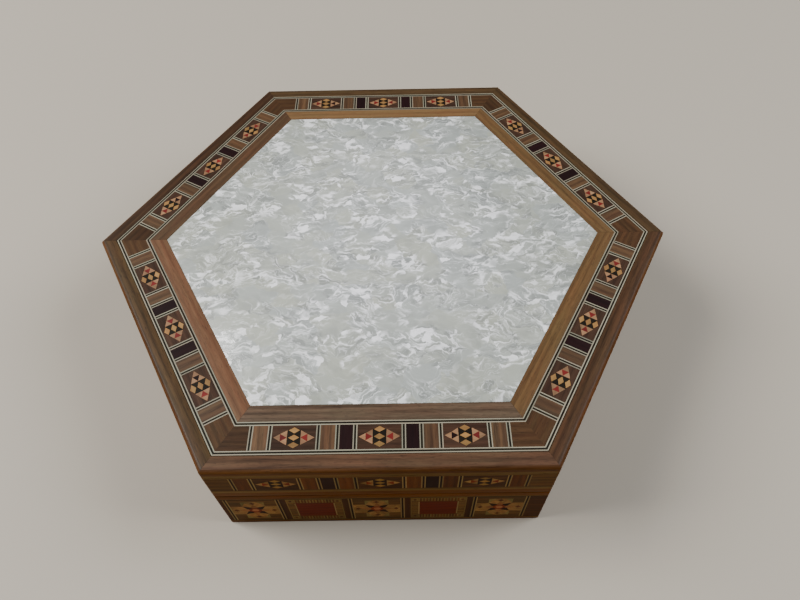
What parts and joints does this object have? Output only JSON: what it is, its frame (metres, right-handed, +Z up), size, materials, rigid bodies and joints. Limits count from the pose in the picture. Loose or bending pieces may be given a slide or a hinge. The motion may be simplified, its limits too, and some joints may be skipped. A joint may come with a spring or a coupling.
{
  "type": "hexagonal marquetry box",
  "caption": "Low six-sided wooden box with a lift-off lid, geometric marquetry borders and a pearl panel in the lid's top.",
  "frame": {"origin": "centre of the underside, on the surface that the box stands on", "axes": "+Z up, +X towards one corner of the hexagon, -Y towards the flat side that faces the camera"},
  "size_m": [0.2398, 0.2078, 0.0507],
  "materials": {
    "walnut": "lacquered walnut",
    "band_wood": "lacquered red-brown wood",
    "inner_wood": "plain sanded wood",
    "marquetry": "lacquered wood marquetry",
    "pearl": "polished crushed-shell laminate"
  },
  "bodies": {
    "root": {"base_board": "inner_wood", "body_wall_1": "band_wood", "body_wall_2": "band_wood", "body_wall_3": "band_wood", "body_wall_4": "band_wood", "body_wall_5": "band_wood", "body_wall_6": "band_wood", "body_marquetry_1": "marquetry", "body_marquetry_2": "marquetry", "body_marquetry_3": "marquetry", "body_marquetry_4": "marquetry", "body_marquetry_5": "marquetry", "body_marquetry_6": "marquetry", "lid_board": "inner_wood", "lid_wall_1": "band_wood", "lid_wall_2": "band_wood", "lid_wall_3": "band_wood", "lid_wall_4": "band_wood", "lid_wall_5": "band_wood", "lid_wall_6": "band_wood", "lid_marquetry_1": "marquetry", "lid_marquetry_2": "marquetry", "lid_marquetry_3": "marquetry", "lid_marquetry_4": "marquetry", "lid_marquetry_5": "marquetry", "lid_marquetry_6": "marquetry", "walnut_edging_1": "walnut", "walnut_edging_2": "walnut", "walnut_edging_3": "walnut", "walnut_edging_4": "walnut", "walnut_edging_5": "walnut", "walnut_edging_6": "walnut", "top_marquetry_1": "marquetry", "top_marquetry_2": "marquetry", "top_marquetry_3": "marquetry", "top_marquetry_4": "marquetry", "top_marquetry_5": "marquetry", "top_marquetry_6": "marquetry", "walnut_border_1": "walnut", "walnut_border_2": "walnut", "walnut_border_3": "walnut", "walnut_border_4": "walnut", "walnut_border_5": "walnut", "walnut_border_6": "walnut", "pearl_panel": "pearl"}
  },
  "joints": []
}
